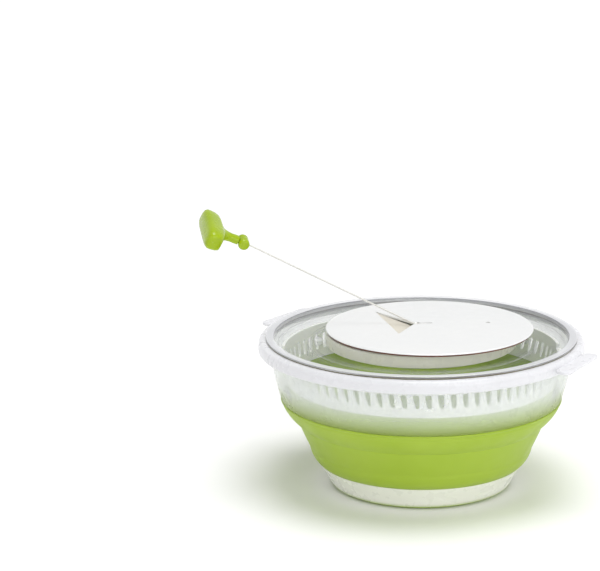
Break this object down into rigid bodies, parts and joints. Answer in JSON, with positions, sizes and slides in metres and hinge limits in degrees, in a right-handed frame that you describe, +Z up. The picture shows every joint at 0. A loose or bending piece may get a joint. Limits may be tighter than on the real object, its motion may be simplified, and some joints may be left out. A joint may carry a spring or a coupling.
{
  "type": "salad spinner",
  "caption": "Collapsible salad spinner: translucent bowl with a folding silicone wall, slotted spinning basket, clear lid and off-centre drum with a pull cord and T handle",
  "frame": {"origin": "centre of the foot pad's underside, on the surface that the spinner stands on", "axes": "+Z is up along the axis that the basket turns on; +X is to the right and -Y is the front, with the cord drawn out towards -X and up"},
  "size_m": [0.3217, 0.2676, 0.2284],
  "materials": {
    "silicone_green": "matt moulded silicone",
    "bowl_translucent": "translucent, satin moulded",
    "basket_white": "white, satin moulded",
    "lid_clear": "clear, polished",
    "gasket_olive": "matt silicone",
    "drum_cream": "translucent cream, satin",
    "cap_white": "white, gloss",
    "seal_brown": "matt",
    "ramp_beige": "matt moulded",
    "cord_white": "braided nylon",
    "handle_green": "gloss moulded",
    "plug_grey": "matt moulded",
    "clip_white": "satin moulded",
    "acetal_white": "natural acetal",
    "steel": "machined stainless steel",
    "spring_steel": "blued strip"
  },
  "bodies": {
    "bowl_lower": {"foot_pad": "silicone_green", "bowl_base": "bowl_translucent", "bowl_band": "silicone_green", "pivot_pin": "steel"},
    "bowl_upper": {"bowl_rim": "bowl_translucent", "bowl_flange": "bowl_translucent"},
    "lid": {"lid_shell": "lid_clear", "lid_gasket": "gasket_olive", "lid_clip_left": "clip_white", "lid_clip_right": "clip_white", "drum_base": "drum_cream", "drum_housing": "drum_cream", "cap_seal_ring": "seal_brown", "top_cap": "cap_white", "cap_plug": "plug_grey", "cord_ramp": "ramp_beige", "cord_grommet": "acetal_white", "cord_lead": "cord_white", "centre_shaft": "steel", "shaft_clip": "steel", "shaft_spacer": "acetal_white", "spring_cover": "acetal_white", "recoil_spring": "spring_steel", "roller_bracket": "acetal_white", "roller_pin": "steel", "drum_screw_1": "steel", "drum_screw_2": "steel", "drum_screw_3": "steel", "drum_screw_4": "steel"},
    "basket_bearing": {"pivot_bearing": "acetal_white"},
    "basket_lower": {"basket_base": "basket_white", "basket_band": "silicone_green"},
    "basket_upper": {"basket_ring": "basket_white"},
    "driver": {"clutch_cup": "acetal_white", "drive_plate": "lid_clear"},
    "spool": {"cord_spool": "acetal_white", "cord_winding": "cord_white", "pawl_pin_1": "steel", "pawl_pin_2": "steel", "pawl_pin_3": "steel"},
    "first_pawl": {"pawl_1": "acetal_white"},
    "second_pawl": {"pawl_2": "acetal_white"},
    "third_pawl": {"pawl_3": "acetal_white"},
    "roller": {"guide_roller": "acetal_white"},
    "swivel": {"cord_swivel": "acetal_white"},
    "cord": {"cord_eyelet": "acetal_white", "pull_cord": "cord_white"},
    "handle": {"cord_toggle": "handle_green", "pull_handle": "handle_green"}
  },
  "joints": [
    {"name": "bowl_collapse", "type": "slide", "parent": "bowl_lower", "child": "bowl_upper", "axis": [0, 0, 1], "range_m": [-0.052, 0], "deforming": ["bowl_band"]},
    {"name": "lid_lift", "type": "slide", "parent": "bowl_upper", "child": "lid", "axis": [0, 0, 1], "range_m": [0, 0.3]},
    {"name": "basket_lift", "type": "slide", "parent": "bowl_lower", "child": "basket_bearing", "axis": [0, 0, 1], "range_m": [0, 0.15]},
    {"name": "basket_spin", "type": "hinge", "parent": "basket_bearing", "child": "basket_lower", "pos_m": [0, 0, 0.0175], "axis": [0, 0, 1], "continuous": true},
    {"name": "basket_collapse", "type": "slide", "parent": "basket_lower", "child": "basket_upper", "axis": [0, 0, 1], "range_m": [-0.052, 0], "deforming": ["basket_band"]},
    {"name": "driver_spin", "type": "hinge", "parent": "lid", "child": "driver", "pos_m": [0, 0, 0.104], "axis": [0, 0, 1], "continuous": true},
    {"name": "cord_yaw", "type": "hinge", "parent": "lid", "child": "swivel", "pos_m": [-0.0042, 0.011, 0.1314], "axis": [0, 0, 1], "range_deg": [-25, 25]},
    {"name": "cord_pitch", "type": "hinge", "parent": "swivel", "child": "cord", "pos_m": [-0.0042, 0.011, 0.1314], "axis": [0, 1, 0], "range_deg": [-8, 45]},
    {"name": "cord_pull", "type": "slide", "parent": "cord", "child": "handle", "axis": [-0.8934, 0, 0.4493], "range_m": [-0.125, 0], "stiffness_N_per_m": 12, "springref_m": -0.2, "deforming": ["pull_cord"]},
    {"name": "spool_spin", "type": "hinge", "parent": "lid", "child": "spool", "pos_m": [0, 0, 0.1175], "axis": [0, 0, 1], "range_deg": [-215, 5]},
    {"name": "roller_spin", "type": "hinge", "parent": "lid", "child": "roller", "pos_m": [0.04475, 0.00734, 0.1219], "axis": [0.8522, -0.5232, 0], "continuous": true},
    {"name": "pawl_1_swing", "type": "hinge", "parent": "spool", "child": "first_pawl", "pos_m": [0.0125, 0, 0.1095], "axis": [0, 0, 1], "range_deg": [-5, 20]},
    {"name": "pawl_2_swing", "type": "hinge", "parent": "spool", "child": "second_pawl", "pos_m": [-0.00625, 0.01082, 0.1095], "axis": [0, 0, 1], "range_deg": [-5, 20]},
    {"name": "pawl_3_swing", "type": "hinge", "parent": "spool", "child": "third_pawl", "pos_m": [-0.00625, -0.01082, 0.1095], "axis": [0, 0, 1], "range_deg": [-5, 20]}
  ],
  "couplings": [
    {"joint": "basket_lift", "follows": "lid_lift", "ratio": 0.5},
    {"joint": "basket_collapse", "follows": "bowl_collapse", "ratio": 1},
    {"joint": "basket_spin", "follows": "driver_spin", "ratio": 1},
    {"joint": "spool_spin", "follows": "cord_pull", "rad_per_m": 29.154},
    {"joint": "roller_spin", "follows": "cord_pull", "rad_per_m": 232.56}
  ]
}
